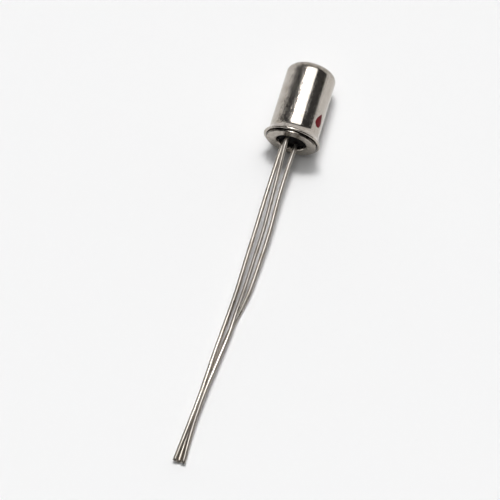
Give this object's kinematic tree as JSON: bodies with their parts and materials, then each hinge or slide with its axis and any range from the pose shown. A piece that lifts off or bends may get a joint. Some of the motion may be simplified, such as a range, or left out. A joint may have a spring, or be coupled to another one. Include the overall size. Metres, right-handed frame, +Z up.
{
  "type": "germanium transistor",
  "caption": "Small germanium transistor lying on its side: a tall flanged metal can with a glass seal, a red paint mark and long tinned wire leads.",
  "frame": {"origin": "centre of the footprint, on the surface that the part lies on", "axes": "+Y along the can towards its closed end with the leads towards -Y, +Z up"},
  "size_m": [0.0064, 0.0457, 0.0064],
  "materials": {
    "plated_can": "polished",
    "plated_header": "satin",
    "seal_glass": "gloss",
    "tinned_wire": "satin",
    "red_paint": "satin",
    "nickel": "satin",
    "germanium": "polished",
    "indium": "satin"
  },
  "bodies": {
    "root": {"can": "plated_can", "header": "plated_header", "glass_seal": "seal_glass", "emitter_lead": "tinned_wire", "base_lead": "tinned_wire", "collector_lead": "tinned_wire", "red_mark": "red_paint", "base_tab": "nickel", "germanium_wafer": "germanium", "emitter_pellet": "indium", "collector_pellet": "indium", "emitter_wire": "nickel", "collector_wire": "nickel"}
  },
  "joints": []
}
